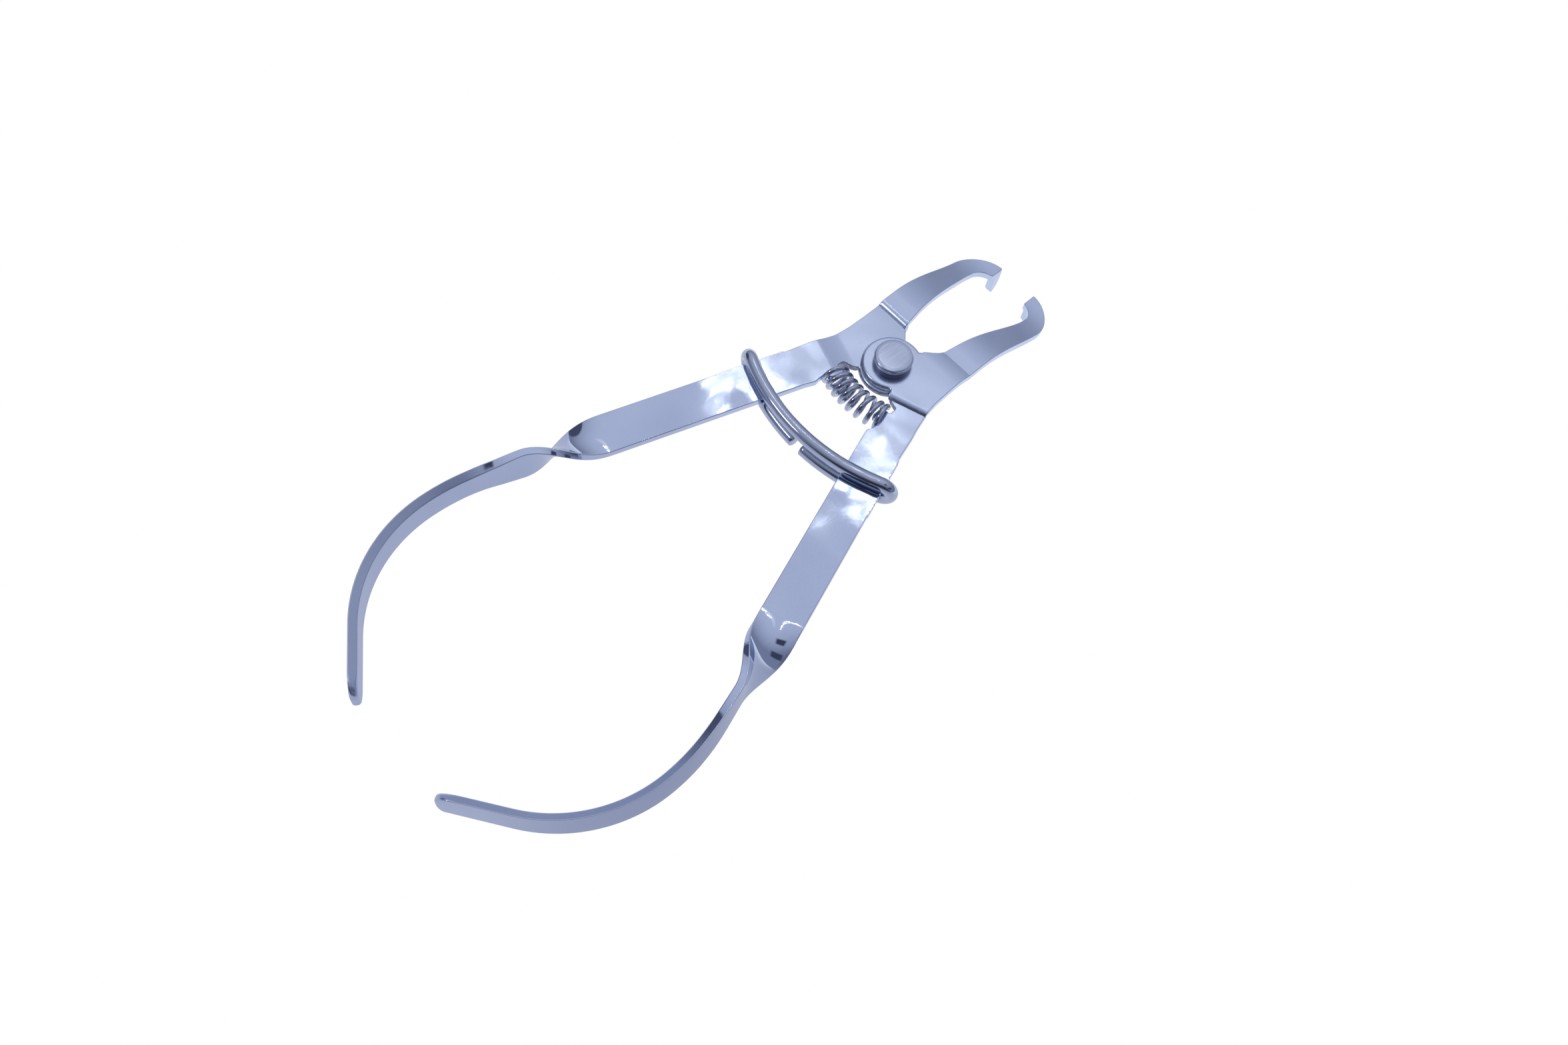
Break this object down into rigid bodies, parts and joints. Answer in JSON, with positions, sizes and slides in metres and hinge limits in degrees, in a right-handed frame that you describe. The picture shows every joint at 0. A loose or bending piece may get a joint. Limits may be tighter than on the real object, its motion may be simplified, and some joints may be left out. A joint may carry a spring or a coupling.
{
  "type": "crimping pliers",
  "caption": "Stamped steel ring forceps whose jaws open when squeezed: two lapped arms on one rivet, down-turned prongs, twisted palm grips, return spring and sliding lock ring.",
  "frame": {"origin": "centre of the rivet's flat tail face, on the rivet's axis", "axes": "+X along the middle of the tool towards the jaws, +Y towards the left arm, +Z along the rivet towards its head; the prongs point to -Z"},
  "size_m": [0.1703, 0.0756, 0.0233],
  "materials": {
    "arm_steel": "satin with polished edges",
    "rivet_steel": "fine brushed",
    "spring_wire": "polished wire",
    "ring_steel": "mirror polished"
  },
  "bodies": {
    "left_arm": {"left_arm": "arm_steel", "return_spring": "spring_wire"},
    "right_arm": {"right_arm": "arm_steel"},
    "rivet": {"pivot_rivet": "rivet_steel", "rivet_washer": "rivet_steel"},
    "ring": {"lock_ring": "ring_steel"}
  },
  "joints": [
    {"name": "arm_pivot", "type": "hinge", "parent": "left_arm", "child": "right_arm", "pos_m": [0, 0, 0.003], "axis": [0, 0, 1], "range_deg": [-10, 12], "stiffness_Nm_per_rad": 1.2, "deforming": ["return_spring"]},
    {"name": "rivet_turn", "type": "hinge", "parent": "left_arm", "child": "rivet", "pos_m": [0, 0, 0.003], "axis": [0, 0, 1], "range_deg": [-5.5, 6.5]},
    {"name": "ring_slide", "type": "slide", "parent": "rivet", "child": "ring", "axis": [1, 0, 0], "range_m": [-0.0085, 0.0095]}
  ],
  "couplings": [
    {"joint": "rivet_turn", "follows": "arm_pivot", "ratio": 0.5},
    {"joint": "ring_slide", "follows": "arm_pivot", "m_per_rad": 0.0427}
  ]
}
